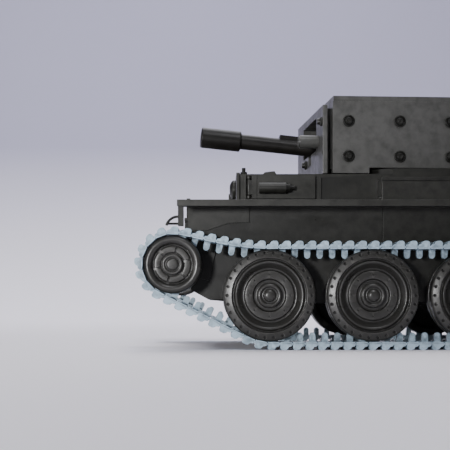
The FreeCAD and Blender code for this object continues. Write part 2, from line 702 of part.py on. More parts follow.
# Track link: x is along the track, z = 0 is the running face and +z is towards the ground.
link = new_body("track_link")
half_link = "(link_pitch - link_gap) / 2"
wide_slab(link, "Pad", "link_wide", [
    ("-" + half_link, "0"),
    (half_link, "0"),
    (half_link, "link_thick - 0.5"),
    (half_link + " - 0.15", "link_thick - 0.2"),
    (half_link + " - 0.45", "link_thick"),
    ("0.1", "link_thick"),
    ("-0.35", "link_thick - 0.25"),
    ("-0.7", "1.25"),
    ("-" + half_link + " + 0.15", "1.1"),
    ("-" + half_link, "0.9"),
])
wide_slab(link, "Pad", "horn_wide", [
    ("-1.35", "0.2"), ("-1.35", "0"), ("-1.3", "-horn_high + 0.6"), ("-1.1", "-horn_high + 0.2"),
    ("-0.75", "-horn_high"), ("-0.35", "-horn_high"), ("0", "-horn_high + 0.2"),
    ("0.2", "-horn_high + 0.6"), ("0.3", "0"), ("0.3", "0.2"),
])
for side in (LEFT, RIGHT):
    level_slab(link, "Pocket", "-1", "3", [
        ("-window_long / 2", both("window_y - window_wide / 2", side)),
        ("window_long / 2", both("window_y - window_wide / 2", side)),
        ("window_long / 2", both("window_y + window_wide / 2", side)),
        ("-window_long / 2", both("window_y + window_wide / 2", side)),
    ])
for end in ("-link_pitch / 2", "link_pitch / 2"):
    wide_disc(link, "Pocket", "link_wide + 1", end, "pin_depth", "pin_seat")
pin = new_body("track_pin")
wide_disc(pin, "Pad", "link_wide - 0.2", "0", "0", "pin_rad")
doc.recompute()


def track_wire():
    """The line of the track pins: round the idler, down to the road wheels and along their
    tops, up to the sprocket and round it, and back along the ground."""
    end_rad = size("end_turn_rad")
    z_end = size("end_z")
    x_front, x_rear = size("idler_x"), size("drive_x")
    first = size("wheel_mid_x") - 2 * size("wheel_pitch")
    last = size("wheel_mid_x") + 2 * size("wheel_pitch")
    wheel_rad = size("wheel_rad") + size("wheel_gap") + size("pin_depth")
    z_wheel = size("axle_z")
    middles = {
        "front": V(x_front, 0, z_end),
        "rear": V(x_rear, 0, z_end),
        "first": V(first, 0, z_wheel),
        "last": V(last, 0, z_wheel),
    }

    def at(middle, radius, degrees):
        angle = math.radians(degrees)
        return middles[middle] + V(radius * math.cos(angle), 0, radius * math.sin(angle))

    def under(small, large, way):
        """The direction, seen from both middles, in which a line touches both circles."""
        run = middles[large] - middles[small]
        lean = math.degrees(math.atan2(run.z, run.x * way))
        dip = math.degrees(math.asin((wheel_rad - end_rad) / run.Length))
        return -90 + way * (lean - dip)

    top_lean = 12.0
    front_low = under("front", "first", 1)
    rear_low = under("rear", "last", -1)

    def sag(from_point, slope, to_point):
        """A curve that leaves a point with a slope and ends level."""
        curve = Part.BSplineCurve()
        start = V(math.cos(slope), 0, math.sin(slope))
        flat = V(math.copysign(1, to_point.x - from_point.x), 0, 0)
        curve.interpolate(Points=[from_point, to_point], InitialTangent=start, FinalTangent=flat)
        return curve.toShape()

    def arc(middle, radius, start, through, end):
        points = [at(middle, radius, angle) for angle in (start, through, end)]
        return Part.Arc(*points).toShape()

    front_top = at("front", end_rad, 90 - top_lean)
    rear_top = at("rear", end_rad, 90 + top_lean)
    over_first = at("first", wheel_rad, 90)
    over_last = at("last", wheel_rad, 90)
    lean = math.radians(top_lean)
    edges = [
        sag(front_top, -lean, over_first),
        Part.LineSegment(over_first, over_last).toShape(),
        sag(rear_top, math.pi + lean, over_last),
        arc("rear", end_rad, 90 + top_lean, 0, rear_low),
        Part.LineSegment(at("rear", end_rad, rear_low), at("last", wheel_rad, rear_low)).toShape(),
        arc("last", wheel_rad, rear_low, (rear_low - 90) / 2, -90),
        Part.LineSegment(at("last", wheel_rad, -90), at("first", wheel_rad, -90)).toShape(),
        arc("first", wheel_rad, -90, (front_low - 90) / 2, front_low),
        Part.LineSegment(at("first", wheel_rad, front_low), at("front", end_rad, front_low)).toShape(),
        arc("front", end_rad, front_low, 180, 90 - top_lean),
    ]
    return Part.Wire(Part.sortEdges(edges)[0])


wire = track_wire()
link_count = round(wire.Length / size("link_pitch"))
pins = wire.discretize(Number=link_count + 1)[:-1]


def link_places(side):
    """Where each track link goes, one for each pair of pins."""
    places = []
    for start, end in zip(pins, pins[1:] + pins[:1]):
        along = end - start
        slope = math.degrees(math.atan2(along.z, along.x))
        turn = FreeCAD.Rotation(Y_AXIS, -slope)
        middle = (start + end) / 2 - turn.multVec(V(0, 0, size("pin_depth")))
        places.append(FreeCAD.Placement(middle + V(0, side * size("wheel_y"), 0), turn))
    return places


# A tooth of the sprocket stands in the window of the link nearest to the rear.
drive_middle = V(size("drive_x"), 0, size("end_z"))
rear_link = max(link_places(0), key=lambda place: place.Base.x).Base - drive_middle
tooth_angle = math.degrees(math.atan2(rear_link.z, rear_link.x))

for side, name in ((LEFT, "left"), (RIGHT, "right")):
    keep(copies("track_" + name, link.Shape, link_places(side)))
    across = V(0, side * size("wheel_y"), 0)
    keep(copies("track_pins_" + name, pin.Shape, [FreeCAD.Placement(p + across, FreeCAD.Rotation())
                                                  for p in pins]))
    sprocket = keep(group("sprocket_" + name, [drum] + toothed))
    at_side(sprocket, side, "drive_x", "end_z", side * tooth_angle)

# Turret ------------------------------------------------------------------------------------
# Modelled square to the turret, with heights measured from the ground, and then turned.

turret_frame = doc.addObject("App::Placement", "TurretFrame")
place(turret_frame, "turret_x", angle="turret_turn")
gun_frame = doc.addObject("App::Placement", "GunFrame")
place(gun_frame, "trunnion_x", z="trunnion_z", axis=Y_AXIS, angle="gun_raise")


def in_turret(thing):
    thing.setExpression("Placement", "TurretFrame.Placement")
    return keep(thing)


def on_gun(thing):
    thing.setExpression("Placement", "TurretFrame.Placement * GunFrame.Placement")
    return keep(thing)


shell_half = "(turret_half - plate)"
shell = in_turret(new_body("turret_shell"))
wide_slab(shell, "Pad", "2 * " + shell_half,
          block("turret_front", "turret_back", "side_z", "turret_top"))
wide_slab(shell, "Pocket", f"2 * ({shell_half} - wall)",
          block("turret_front + wall", "turret_back - wall", "side_z + wall", "turret_top + 1"))
level_disc(shell, "Pocket", "side_z - 1", "side_z + 3", "0", "0", "ring_rad - wall")
wide_slab(shell, "Pocket", "2 * port_half",
          block("turret_front - 1", "turret_front + wall + 1", "trunnion_z - port_down",
                "trunnion_z + port_up"))
wide_slab(shell, "Pocket", "2 * port_half",
          block("turret_front + wall", "skirt_x + 5", "side_z - 1", "side_z + wall + 0.1"))

ring = in_turret(new_body("turret_ring"))
level_disc(ring, "Pad", "roof_z - wall", "side_z", "0", "0", "ring_rad")
level_disc(ring, "Pocket", "roof_z - wall - 1", "side_z + 1", "0", "0", "ring_rad - wall")

# The front plate is a thin plate on a thicker neck, with a wide opening for the mantlet.
face = in_turret(new_body("turret_front_plate"))
wide_slab(face, "Pad", "2 * turret_half - 2.4",
          block("turret_nose", "turret_nose + face_thick", "skirt_z", "face_top"))
wide_slab(face, "Pad", "2 * turret_half - 14",
          block("turret_nose + face_thick", "turret_front", "skirt_z", "face_top"))
wide_slab(face, "Pocket", "2 * port_half",
          block("turret_nose - 1", "turret_front + 1", "trunnion_z - port_sill",
                "trunnion_z + port_up"))
wide_slab(face, "Pocket", "2 * slot_half",
          block("turret_nose - 1", "turret_front + 1", "trunnion_z - port_down",
                "trunnion_z"))

housing = in_turret(new_body("machine_gun_housing"))
long_disc(housing, "Pad", "turret_nose - 5", "turret_nose", "housing_y", "housing_z",
          "housing_rad")
long_disc(housing, "Pad", "turret_nose - 5.4", "turret_nose - 5", "housing_y", "housing_z",
          "housing_rad - 0.3")
long_disc(housing, "Pocket", "turret_nose - 6", "turret_nose - 3", "housing_y", "housing_z",
          "0.55")

cheeks = []
for side, name in ((LEFT, "left"), (RIGHT, "right")):
    cheek = new_body("turret_side_" + name)
    side_slab(cheek, "Pad", side, shell_half, "turret_half", [
        ("turret_front", "skirt_z"),
        ("skirt_x", "skirt_z"),
        ("skirt_x", "side_z"),
        ("turret_back", "side_z"),
        ("turret_back", "turret_top"),
        ("turret_front", "turret_top"),
    ])
    cheeks.append(cheek)
in_turret(group("turret_side_armour", cheeks))

back = in_turret(new_body("turret_rear_plate"))
wide_slab(back, "Pad", "2 * turret_half - 2.4",
          block("turret_back", "turret_back + 1.9", "side_z", "turret_top"))

roof = in_turret(new_body("turret_roof"))
level_slab(roof, "Pad", "turret_top", "turret_roof", [
    ("turret_front + 0.2", "-turret_half + 0.4"),
    ("turret_back + 1", "-turret_half + 0.4"),
    ("turret_back + 1", "turret_half - 0.4"),
    ("turret_front + 0.2", "turret_half - 0.4"),
])
level_disc(roof, "Pocket", "turret_top - 1", "turret_roof + 1", "cupola_x", "cupola_y",
           "cupola_rad - 1.4")
level_slab(roof, "Pocket", "turret_top - 1", "turret_roof + 1",
           [("3", "6"), ("15", "6"), ("15", "16"), ("3", "16")])

brackets = []
for side, name in ((LEFT, "left"), (RIGHT, "right")):
    bracket = new_body("trunnion_bracket_" + name)
    side_slab(bracket, "Pad", side, "mantlet_half + 0.4", "mantlet_half + 2",
              block("trunnion_x - 3", "trunnion_x + 3", "side_z + wall", "trunnion_z + 3"))
    side_disc(bracket, "Pocket", side, "mantlet_half", "mantlet_half + 3", "trunnion_x",
              "trunnion_z", "bore_rad")
    brackets.append(bracket)
in_turret(group("trunnion_brackets", brackets))

bolt = new_body("armour_bolt")
turned(bolt, [("0", "0"), ("bolt_rad", "0"), ("bolt_rad", "0.4"), ("1.35", "0.6"),
              ("1.15", "0.3"), ("0.95", "0.3"), ("0.85", "1.1"), ("0.6", "1.3"),
              ("0.35", "1.1"), ("0", "1.1")])
doc.recompute()
bolt_places = []
for side in (LEFT, RIGHT):
    outwards = FreeCAD.Rotation(Z_AXIS, 180 if side == LEFT else 0)
    for station in range(4):
        for height in ("bolt_low", "bolt_high"):
            x = size("bolt_first") + station * size("bolt_step")
            spot = V(x, side * size("turret_half"), size(height))
            bolt_places.append(FreeCAD.Placement(spot, outwards))
in_turret(copies("armour_bolts", bolt.Shape, bolt_places))

small_bolt = new_body("front_bolt")
turned(small_bolt, [("0", "0"), ("1.25", "0"), ("1.25", "0.4"), ("0.9", "0.6"),
                    ("0.75", "1.3"), ("0", "1.3")])
doc.recompute()
forwards = FreeCAD.Rotation(Z_AXIS, 90)
in_turret(copies("front_plate_bolts", small_bolt.Shape, [
    FreeCAD.Placement(V(size("turret_nose"), y, z), forwards)
    for y, z in ((-22, 60.9), (22, 60.9), (7, 52.2))
]))

# Cupola and hatches.
cupola = in_turret(new_body("cupola"))
level_disc(cupola, "Pad", "turret_roof", "cupola_z", "cupola_x", "cupola_y", "cupola_rad")
level_disc(cupola, "Pocket", "turret_roof - 1", "cupola_z + 1", "cupola_x", "cupola_y",
           "cupola_rad - 1.4")
for side, name in ((LEFT, "left"), (RIGHT, "right")):
    flap = in_turret(new_body("cupola_hatch_" + name))
    top = "cupola_z + hatch_gap"
    level_disc(flap, "Pad", top, top + " + hatch_thick", "cupola_x", "cupola_y",
               "cupola_rad - 0.5")
    cut = ("cupola_y - 0.12", "cupola_y + 12") if side == LEFT else ("cupola_y - 12", "cupola_y + 0.12")
    level_slab(flap, "Pocket", top + " - 1", top + " + 2", [
        ("cupola_x - 12", cut[0]), ("cupola_x + 12", cut[0]),
        ("cupola_x + 12", cut[1]), ("cupola_x - 12", cut[1]),
    ])
    hinge(cupola, flap, long_disc, "cupola_x - 2.5", "5",
          "cupola_y + " + both("cupola_rad - 0.15", side), "cupola_z + hinge_up")

lid = in_turret(new_body("loader_hatch"))
level_slab(lid, "Pad", "turret_roof + hatch_gap", "turret_roof + hatch_gap + hatch_thick",
           [("2.2", "5.2"), ("15.8", "5.2"), ("15.8", "16.3"), ("2.2", "16.3")])
level_slab(lid, "Pad", "turret_roof + hatch_gap", "turret_roof + hatch_gap + hatch_thick",
           [("5.1", "16"), ("12.9", "16"), ("12.9", "17.15"), ("5.1", "17.15")])
hinge(roof, lid, long_disc, "4", "10", "17.15", "turret_roof + hinge_up")

# Gun ---------------------------------------------------------------------------------------
# Modelled level, with the trunnions at the origin and the muzzle towards -X.

mantlet = on_gun(new_body("mantlet"))
wide_disc(mantlet, "Pad", "2 * mantlet_half", "0", "0", "mantlet_rad")
wide_disc(mantlet, "Pocket", "2 * (mantlet_half - wall)", "0", "0", "mantlet_rad - 1.5")
wide_slab(mantlet, "Pocket", "2 * mantlet_half + 1", block("2.5", "9", "-9", "9"))
wide_slab(mantlet, "Pocket", "2 * mantlet_half + 1", block("-9", "9", "-9", "-4.9"))
long_disc(mantlet, "Pocket", "-9", "-mantlet_rad + 2.4", "0", "0", "barrel_rad")
wide_disc(mantlet, "Pad", "2 * (mantlet_half + 1.8)", "0", "0", "axle_rad")

barrel = on_gun(new_body("gun_barrel"))
turned(barrel, [
    ("-mantlet_rad + 2.2", "0"), ("-mantlet_rad + 2.2", "barrel_rad"),
    ("-muzzle + weight_long", "barrel_rad"),
    ("-muzzle + weight_long", "bore_gun"), ("-14", "bore_gun"), ("-14", "0"),
], "X_Axis")
wide_slab(barrel, "Pad", "2.4", block("-18", "-12.4", "barrel_rad - 0.4", "barrel_rad + 0.9"))

weight = on_gun(new_body("muzzle_weight"))
turned(weight, [
    ("-muzzle + weight_long", "bore_gun"), ("-muzzle + weight_long", "weight_rad - 0.3"),
    ("-muzzle + weight_long - 0.3", "weight_rad"), ("-muzzle + 0.3", "weight_rad"),
    ("-muzzle", "weight_rad - 0.3"), ("-muzzle", "1.7"), ("-muzzle + 1.2", "1.5"),
    ("-muzzle + 1.2", "bore_gun"),
], "X_Axis")

# Side doors and the driver's hatch -----------------------------------------------------------

for side, name in ((LEFT, "left"), (RIGHT, "right")):
    door = keep(new_body("side_door_" + name))
    inside = "hull_half + door_gap"
    outside = "hull_half + door_gap + door_thick"
    side_slab(door, "Pad", side, inside, outside,
              block("door_x + 0.4", "door_x + door_long", "door_low", "door_high"))
    side_slab(door, "Pad", side, "hull_half + 0.5", "hull_half + 0.9",
              block("door_x - 0.5", "door_x + 0.5", "door_low + 1.1", "door_high - 1.1"))
    side_slab(door, "Pocket", side, outside + " - 0.35", outside + " + 1",
              block("door_x + 1.6", "door_x + 1.9", "door_low - 1", "door_high + 1"))
    for start, end, radius in (("2.2", "9.3", "1.45"), ("9.3", "10.4", "1.1"),
                               ("10.4", "11.6", "0.6")):
        long_disc(door, "Pad", "door_x + " + start, "door_x + " + end,
                  both("hull_half + 2.4", side), "door_low + 2.7", radius)
    # A rib ahead of the door, a recess behind its hinge and a frame strip behind its edge.
    side_slab(fort, "Pad", side, "hull_half", "hull_half + 0.7",
              block("door_x - 1.7", "door_x - 1.25", "guard_top", "roof_z - 0.2"))
    side_slab(fort, "Pocket", side, "hull_half - 0.8", "hull_half + 1",
              block("door_x - 1.25", "door_x + 0.4", "door_low + 0.8", "door_high - 0.8"))
    side_slab(fort, "Pad", side, "hull_half", "hull_half + 0.8",
              block("door_x + 17.6", "door_x + 18.7", "guard_top", "door_high - 0.5"))
    hinge(fort, door, level_disc, "door_low", "6.1", "door_x - 0.5",
          both("hull_half + hinge_up", side))

hatch = keep(new_body("driver_hatch"))
level_slab(hatch, "Pad", "roof_z + hatch_gap", "roof_z + hatch_gap + hatch_thick",
           [("front_x + 4", "6"), ("front_x + 12.6", "6"), ("front_x + 12.6", "17.5"),
            ("front_x + 4", "17.5")])
level_slab(hatch, "Pad", "roof_z + hatch_gap", "roof_z + hatch_gap + hatch_thick",
           [("front_x + 5.7", "17"), ("front_x + 10.9", "17"), ("front_x + 10.9", "18.35"),
            ("front_x + 5.7", "18.35")])
level_slab(fort, "Pocket", "roof_z - 3", "roof_z + 1",
           [("front_x + 5", "7"), ("front_x + 11.6", "7"), ("front_x + 11.6", "17"),
            ("front_x + 5", "17")])
hinge(fort, hatch, long_disc, "front_x + 4.6", "7.4", "18.35", "roof_z + hinge_up")
for side in (LEFT, RIGHT):
    side_slab(fort, "Pad", side, "hull_half - 4", "hull_half - 1", [
        ("front_x + 6.5", "roof_z - 0.2"), ("front_x + 7.2", "roof_z + 0.6"),
        ("front_x + 9.8", "roof_z + 0.9"), ("front_x + 10.5", "roof_z - 0.2"),
    ])
    for low, high, radius in (("- 0.5", "+ 0.7", "0.9"), ("+ 0.7", "+ 1.8", "0.5")):
        level_disc(fort, "Pad", "roof_z " + low, "roof_z " + high, "front_x + 1.6",
                   both("hull_half - 2", side), radius)

# Check and write -----------------------------------------------------------------------------

doc.recompute()
for thing in doc.Objects:
    if {"Invalid", "Error"} & set(thing.State):
        raise RuntimeError(f"{thing.Name} ({thing.Label}) didn't build: {thing.State}")
os.makedirs("parts", exist_ok=True)
for thing in nodes:
    shape = thing.Shape
    if shape.isNull() or not shape.isValid() or not shape.Solids:
        raise RuntimeError(f"{thing.Label} has no valid solid")
    shape.exportStep(f"parts/{thing.Label}.step")
print(len(nodes), "nodes written")
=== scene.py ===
import json
import math

import bmesh
import bpy
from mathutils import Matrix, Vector


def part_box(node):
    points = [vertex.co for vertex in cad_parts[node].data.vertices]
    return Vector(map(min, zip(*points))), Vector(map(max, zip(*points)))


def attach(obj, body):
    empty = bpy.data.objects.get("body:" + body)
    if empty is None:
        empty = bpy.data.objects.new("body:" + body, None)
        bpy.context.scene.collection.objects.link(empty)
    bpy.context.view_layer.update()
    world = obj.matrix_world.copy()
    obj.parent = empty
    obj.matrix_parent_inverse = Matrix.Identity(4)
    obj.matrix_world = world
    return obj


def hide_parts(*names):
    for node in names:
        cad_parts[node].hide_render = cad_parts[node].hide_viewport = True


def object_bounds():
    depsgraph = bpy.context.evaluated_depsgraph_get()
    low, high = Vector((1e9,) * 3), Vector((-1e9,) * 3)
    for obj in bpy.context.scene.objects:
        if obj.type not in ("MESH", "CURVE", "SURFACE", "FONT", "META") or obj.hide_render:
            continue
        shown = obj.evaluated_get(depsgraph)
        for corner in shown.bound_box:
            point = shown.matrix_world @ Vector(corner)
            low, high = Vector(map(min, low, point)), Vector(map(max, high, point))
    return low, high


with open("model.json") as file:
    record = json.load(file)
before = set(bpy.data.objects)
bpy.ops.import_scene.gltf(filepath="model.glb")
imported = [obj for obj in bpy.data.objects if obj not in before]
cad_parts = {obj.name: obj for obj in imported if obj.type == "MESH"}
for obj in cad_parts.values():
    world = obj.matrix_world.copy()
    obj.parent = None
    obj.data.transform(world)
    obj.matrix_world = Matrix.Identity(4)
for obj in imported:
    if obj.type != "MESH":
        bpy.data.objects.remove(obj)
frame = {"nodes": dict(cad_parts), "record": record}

# Everything is in metres, in the CAD part's frame: the front of the tank is towards -X, its left
# side towards -Y, and the ground is z = 0.
MM = 0.001
nodes = frame["nodes"]
cad_low, cad_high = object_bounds()


# Materials -----------------------------------------------------------------------------------

class Shader:
    """A material's node tree, with short ways to add the nodes used here."""

    def __init__(self, name):
        self.material = bpy.data.materials.new(name)
        self.material.use_nodes = True
        self.tree = self.material.node_tree
        self.surface = self.tree.nodes["Principled BSDF"]
        self.place = self.tree.nodes.new("ShaderNodeTexCoord").outputs["Object"]

    def join(self, output, node_input):
        self.tree.links.new(output, node_input)

    def noise(self, scale, detail=3.0, rough=0.5, stretch=None):
        """Noise whose features are about 1/scale metres wide."""
        texture = self.tree.nodes.new("ShaderNodeTexNoise")
        texture.inputs["Scale"].default_value = scale
        texture.inputs["Detail"].default_value = detail
        texture.inputs["Roughness"].default_value = rough
        place = self.place
        if stretch:
            mapping = self.tree.nodes.new("ShaderNodeMapping")
            mapping.inputs["Scale"].default_value = stretch
            self.join(self.place, mapping.inputs["Vector"])
            place = mapping.outputs["Vector"]
        self.join(place, texture.inputs["Vector"])
        return texture.outputs["Fac"]

    def height(self):
        parts = self.tree.nodes.new("ShaderNodeSeparateXYZ")
        self.join(self.place, parts.inputs["Vector"])
        return parts.outputs["Z"]

    def spread(self, value, low, high, to_low=0.0, to_high=1.0):
        """A value moved from one range to another, and held inside it."""
        change = self.tree.nodes.new("ShaderNodeMapRange")
        change.inputs["From Min"].default_value = low
        change.inputs["From Max"].default_value = high
        change.inputs["To Min"].default_value = to_low
        change.inputs["To Max"].default_value = to_high
        self.join(value, change.inputs["Value"])
        return change.outputs["Result"]

    def edges(self, low, high):
        """1 on outward edges and 0 elsewhere."""
        geometry = self.tree.nodes.new("ShaderNodeNewGeometry")
        return self.spread(geometry.outputs["Pointiness"], low, high)

    def times(self, a, b):
        product = self.tree.nodes.new("ShaderNodeMath")
        product.operation = "MULTIPLY"
        self.join(a, product.inputs[0])
        self.join(b, product.inputs[1])
        return product.outputs["Value"]

    def mix(self, share, first, second):
        """A colour between two colours.  Each is a tuple or another node's output."""
        blend = self.tree.nodes.new("ShaderNodeMix")
        blend.data_type = "RGBA"
        self.join(share, blend.inputs["Factor"])
        for colour, name in ((first, "A"), (second, "B")):
            socket = next(s for s in blend.inputs if s.name == name and s.type == "RGBA")
            if isinstance(colour, tuple):
                socket.default_value = (*colour, 1.0)
            else:
                self.join(colour, socket)
        return next(s for s in blend.outputs if s.type == "RGBA")

    def bump(self, heights):
        """Bumps laid over each other.  Each is a height from 0 to 1 and its size in metres."""
        normal = None
        for height, size in heights:
            step = self.tree.nodes.new("ShaderNodeBump")
            step.inputs["Strength"].default_value = 1.0
            step.inputs["Distance"].default_value = size
            self.join(height, step.inputs["Height"])
            if normal:
                self.join(normal, step.inputs["Normal"])
            normal = step.outputs["Normal"]
        self.join(normal, self.surface.inputs["Normal"])


def shade(colour, factor):
    return tuple(min(1.0, c * factor) for c in colour)


def moulded_plastic(name, colour, rough, edge_highlight, gloss=0.4, hollow_shade=0.45, mottle=0.0):
    """Bare moulded plastic: faint clouds of flow and a fine matt grain, with a painted
    highlight that lightens outward edges and painted shade that darkens concave spots.  A
    little mottle makes it look partly clear."""
    made = Shader(name)
    cloud = made.noise(95, 5, 0.55)
    patch = made.noise(420, 3, 0.6)
    grain = made.noise(5200, 2, 0.5)
    flow = made.noise(240, 4, 0.6, stretch=(0.25, 1.0, 1.0))
    base = made.mix(made.spread(cloud, 0.3, 0.7), shade(colour, 0.82), shade(colour, 1.16))
    base = made.mix(made.spread(patch, 0.52, 0.78, 0.0, 0.35), base, shade(colour, 1.5))
    if mottle:
        clear = made.noise(900, 2, 0.5)
        base = made.mix(made.spread(clear, 0.5, 0.36, 0.0, mottle), base, shade(colour, 0.45))
        base = made.mix(made.spread(clear, 0.55, 0.68, 0.0, mottle), base, shade(colour, 1.6))
    # Painted highlight: outward edges, found by pointiness, are made lighter as if light caught
    # them.
    edge_highlight_mask = made.times(made.edges(0.505, 0.56), made.spread(patch, 0.3, 0.6, 0.35, 1.0))
    base = made.mix(edge_highlight_mask, base, shade(colour, edge_highlight))
    # Painted shade: concave spots, found by low pointiness, are made darker as if shade fell in
    # them.
    base = made.mix(made.edges(0.485, 0.43), base, shade(colour, hollow_shade))
    made.join(base, made.surface.inputs["Base Color"])
    made.join(made.spread(flow, 0.25, 0.75, rough - 0.09, rough + 0.1),
              made.surface.inputs["Roughness"])
    made.surface.inputs["Specular IOR Level"].default_value = gloss
    made.bump([(cloud, 0.05 * MM), (patch, 0.03 * MM), (grain, 0.012 * MM)])
    return made.material


# Painted shade: the hull plastic is given a far darker colour than the turret plastic, which
# stands in for the shade on the hull sides under the track guards.
SLOTS = {
    "hull_plastic": moulded_plastic("hull_plastic", (0.0085, 0.0085, 0.0075), 0.36, 3.0,
                                    gloss=0.27),
    "turret_plastic": moulded_plastic("turret_plastic", (0.036, 0.036, 0.034), 0.38, 2.2),
    "wheel_plastic": moulded_plastic("wheel_plastic", (0.019, 0.0185, 0.017), 0.3, 2.8),
    "gun_plastic": moulded_plastic("gun_plastic", (0.0055, 0.005, 0.0045), 0.36, 2.6,
                                   gloss=0.25),
    "track_plastic": moulded_plastic("track_plastic", (0.25, 0.325, 0.385), 0.24, 1.5,
                                     gloss=0.5, hollow_shade=0.2, mottle=0.9),
}

USUAL_ROUND = 0.12
ROUND = {
    "track_left": 0.1,
    "track_right": 0.1,
    "hull_tub": 0.2,
    "engine_deck": 0.15,
    "front_plate": 0.3,
    "fighting_compartment": 0.18,
    "side_armour_left": 0.04,
    "side_armour_right": 0.04,
}
for part in frame["record"]["subparts"]:
    name = part["node"]
    # Painted shade: the bolts take the darker hull plastic so that they come out dark, as if
    # shaded.
    slot = "hull_plastic" if name.endswith("_bolts") else part["material_slot"]
    piece = nodes[name]
    piece.data.materials.clear()
    piece.data.materials.append(SLOTS[slot])
    weld = piece.modifiers.new("weld", "WELD")
    weld.merge_threshold = 0.002 * MM
    bevel = piece.modifiers.new("bevel", "BEVEL")
    bevel.width = ROUND.get(name, USUAL_ROUND) * MM
    bevel.segments = 2
    bevel.limit_method = "ANGLE"
    bevel.angle_limit = math.radians(38)
    bevel.harden_normals = False
    normals = piece.modifiers.new("normals", "WEIGHTED_NORMAL")
    normals.keep_sharp = True

# Wheels --------------------------------------------------------------------------------------
# Smooth wheels stand for the CAD's faceted ones.  Their outer face looks towards -Y.


def rounded(corners, radius):
    """A closed outline whose corners are cut back into short arcs."""
    points = []
    for n, corner in enumerate(corners):
        here = Vector(corner)
        before, after = Vector(corners[n - 1]), Vector(corners[(n + 1) % len(corners)])
        reach = min(radius, 0.4 * (before - here).length, 0.4 * (after - here).length)
        start = here + (before - here).normalized() * reach
        end = here + (after - here).normalized() * reach
        if corner[0] == 0 or reach < 1e-6:
            points.append(here)
            continue
        for step in range(5):
            share = step / 4
            points.append(start.lerp(here, share).lerp(here.lerp(end, share), share))
    return points


def lathe(name, corners, sides, soft):
    """A solid turned about the Y axis from an outline of (radius, y) corners in millimetres."""
    profile = rounded(corners, soft)
    points, rings = [], []
    for radius, y in profile:
        if radius < 1e-9:
            rings.append([len(points)] * sides)
            points.append((0, y * MM, 0))
            continue
        rings.append(list(range(len(points), len(points) + sides)))
        for step in range(sides):
            angle = 2 * math.pi * step / sides
            points.append((radius * math.cos(angle) * MM, y * MM, radius * math.sin(angle) * MM))
    faces = []
    for ring, other in zip(rings, rings[1:] + rings[:1]):
        for n in range(sides):
            after = (n + 1) % sides
            face = list(dict.fromkeys((ring[n], other[n], other[after], ring[after])))
            if len(face) > 2:
                faces.append(face)
    mesh = bpy.data.meshes.new(name)
    mesh.from_pydata(points, [], faces)
    mesh.update()
    return mesh


def studs(name, count, ring, radius, near, far, sides=20, turn=0.0):
    """Short round bars along Y, in a ring about the Y axis."""
    points, faces = [], []
    for step in range(count):
        angle = 2 * math.pi * step / count + turn
        x, z = ring * math.cos(angle), ring * math.sin(angle)
        first = len(points)
        for y in (near, far):
            for n in range(sides):
                around = 2 * math.pi * n / sides
                points.append(((x + radius * math.cos(around)) * MM, y * MM,
                               (z + radius * math.sin(around)) * MM))
        faces.append(list(range(first, first + sides)))
        faces.append(list(range(first + 2 * sides - 1, first + sides - 1, -1)))
        for n in range(sides):
            after = (n + 1) % sides
            faces.append((first + after, first + n, first + sides + n, first + sides + after))
    mesh = bpy.data.meshes.new(name)
    mesh.from_pydata(points, [], faces)
    mesh.update()
    return mesh


def bars(name, count, near_radius, far_radius, half, near, far):
    """Square bars that run outwards from the Y axis, for cutting radial grooves."""
    points, faces = [], []
    for step in range(count):
        angle = 2 * math.pi * step / count
        out = Vector((math.cos(angle), 0, math.sin(angle)))
        over = Vector((-math.sin(angle), 0, math.cos(angle)))
        first = len(points)
        for y in (near, far):
            for radius, side in ((near_radius, -half), (far_radius, -half), (far_radius, half),
                                 (near_radius, half)):
                points.append((out * radius + over * side + Vector((0, y, 0))) * MM)
        faces.append([first + n for n in range(4)])
        faces.append([first + 7 - n for n in range(4)])
        for n in range(4):
            after = (n + 1) % 4
            faces.append((first + after, first + n, first + 4 + n, first + 4 + after))
    mesh = bpy.data.meshes.new(name)
    mesh.from_pydata(points, [], faces)
    mesh.update()
    return mesh


def outwards(mesh):
    """Make every face of a closed mesh look outwards."""
    shape = bmesh.new()
    shape.from_mesh(mesh)
    bmesh.ops.recalc_face_normals(shape, faces=shape.faces)
    shape.to_mesh(mesh)
    shape.free()


def carved(name, mesh, steps):
    """The mesh after solids are cut out of it or joined to it."""
    outwards(mesh)
    work = bpy.data.objects.new(name, mesh)
    bpy.context.scene.collection.objects.link(work)
    tools = []
    for operation, tool_mesh in steps:
        outwards(tool_mesh)
        tool = bpy.data.objects.new(name + "_tool", tool_mesh)
        bpy.context.scene.collection.objects.link(tool)
        change = work.modifiers.new("carve", "BOOLEAN")
        change.operation = operation
        change.solver = "EXACT"
        change.object = tool
        tools.append(tool)
    seen = work.evaluated_get(bpy.context.evaluated_depsgraph_get())
    made = bpy.data.meshes.new_from_object(seen)
    for thing in tools + [work]:
        bpy.data.objects.remove(thing)
    for face in made.polygons:
        face.use_smooth = True
    made.set_sharp_from_angle(angle=math.radians(32))
    made.materials.clear()
    made.materials.append(SLOTS["wheel_plastic"])
    return made


